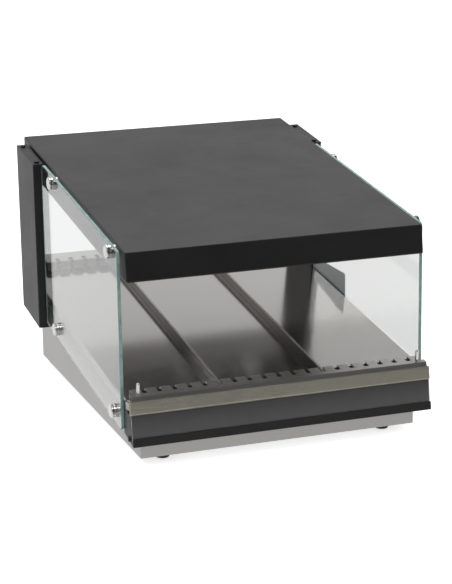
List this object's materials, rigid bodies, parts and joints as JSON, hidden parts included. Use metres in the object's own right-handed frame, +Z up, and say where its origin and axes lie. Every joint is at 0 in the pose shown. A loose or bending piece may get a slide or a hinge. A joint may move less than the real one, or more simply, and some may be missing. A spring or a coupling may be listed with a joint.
{
  "type": "hamburger warmer",
  "caption": "Counter-top hamburger warmer with a sloping heated deck under a heated hood, glass sides, rear columns, lift-out lane dividers and a front ticket rail.",
  "frame": {"origin": "on the table below the middle of the warmer's overall box", "axes": "+Z up, -Y towards the customer's low side, +Y towards the controls at the high side, +X to the right as the customer sees it"},
  "size_m": [0.489, 0.5944, 0.3793],
  "materials": {
    "black_paint": "satin black powder coat",
    "brushed": "brushed",
    "polished": "polished",
    "glass": "clear toughened glass",
    "lamp_glass": "frosted tube",
    "socket_plastic": "matt",
    "sheath": "dull metal sheath",
    "holder_ceramic": "unglazed",
    "zinc": "zinc plated",
    "reflector": "bright",
    "guard_wire": "bright wire",
    "insulation": "mineral wool",
    "ticket_card": "satin",
    "clear_plastic": "clear",
    "black_screw": "black oxide",
    "wire": "sheathed wires",
    "bush_rubber": "matt",
    "foot_rubber": "matt",
    "knob_plastic": "satin",
    "switch_plastic": "matt",
    "pilot_plastic": "translucent"
  },
  "bodies": {
    "cabinet": {"hood_shell": "black_paint", "hood_tray": "brushed", "lamp_cover": "glass", "lamp_tube": "lamp_glass", "lamp_sockets": "socket_plastic", "hood_heater": "sheath", "heater_holder": "holder_ceramic", "heater_support": "zinc", "heater_reflector": "reflector", "heater_guard": "guard_wire", "deck_tray": "brushed", "deck_plate": "polished", "front_comb_strip": "brushed", "rear_comb_strip": "brushed", "end_pins": "polished", "deck_heater": "sheath", "heater_clamps": "zinc", "deck_insulation": "insulation", "thermostat_bulb": "polished", "front_strip": "brushed", "ticket_rail": "black_paint", "ticket_cover": "clear_plastic", "rail_screws": "black_screw", "side_glass_left": "glass", "side_glass_right": "glass", "standoff_caps": "polished", "standoff_barrels": "polished", "standoff_nuts": "zinc", "column_shell_left": "black_paint", "column_shell_right": "black_paint", "column_cap_left": "black_paint", "column_cap_right": "black_paint", "column_post_left": "black_paint", "column_post_right": "black_paint", "column_spacers": "zinc", "column_bolts": "zinc", "column_nuts": "zinc", "cap_screws": "black_screw", "hood_harness": "wire", "harness_bushes": "bush_rubber", "base_housing": "brushed", "base_bottom_plate": "zinc", "feet": "foot_rubber", "foot_screws": "zinc", "bottom_screws": "zinc", "tray_screws": "zinc", "control_panel": "brushed", "panel_screws": "polished", "thermostat_body": "socket_plastic", "power_switch_body": "switch_plastic", "light_switch_body": "switch_plastic", "pilot_lamp": "pilot_plastic", "cable_gland": "switch_plastic", "terminal_block": "socket_plastic"},
    "thermostat_knob": {"thermostat_knob": "knob_plastic"},
    "power_rocker": {"power_rocker": "knob_plastic"},
    "light_rocker": {"light_rocker": "knob_plastic"},
    "lane_divider_left": {"lane_divider_left": "brushed"},
    "lane_divider_right": {"lane_divider_right": "brushed"},
    "ticket_strip": {"ticket_strip": "ticket_card"}
  },
  "joints": [
    {"name": "thermostat_turn", "type": "hinge", "parent": "cabinet", "child": "thermostat_knob", "pos_m": [0.01, 0.28367, 0.06144], "axis": [0, -1, 0], "range_deg": [0, 270]},
    {"name": "power_switch_press", "type": "hinge", "parent": "cabinet", "child": "power_rocker", "pos_m": [-0.065, 0.28517, 0.06144], "axis": [-1, 0, 0], "range_deg": [0, 16]},
    {"name": "light_switch_press", "type": "hinge", "parent": "cabinet", "child": "light_rocker", "pos_m": [-0.105, 0.28517, 0.06144], "axis": [-1, 0, 0], "range_deg": [0, 16]},
    {"name": "divider_left_lift", "type": "slide", "parent": "cabinet", "child": "lane_divider_left", "axis": [0, 0, 1], "range_m": [0, 0.04]},
    {"name": "divider_right_lift", "type": "slide", "parent": "cabinet", "child": "lane_divider_right", "axis": [0, 0, 1], "range_m": [0, 0.04]},
    {"name": "ticket_strip_slide", "type": "slide", "parent": "cabinet", "child": "ticket_strip", "axis": [1, 0, 0], "range_m": [0, 0.4]}
  ]
}
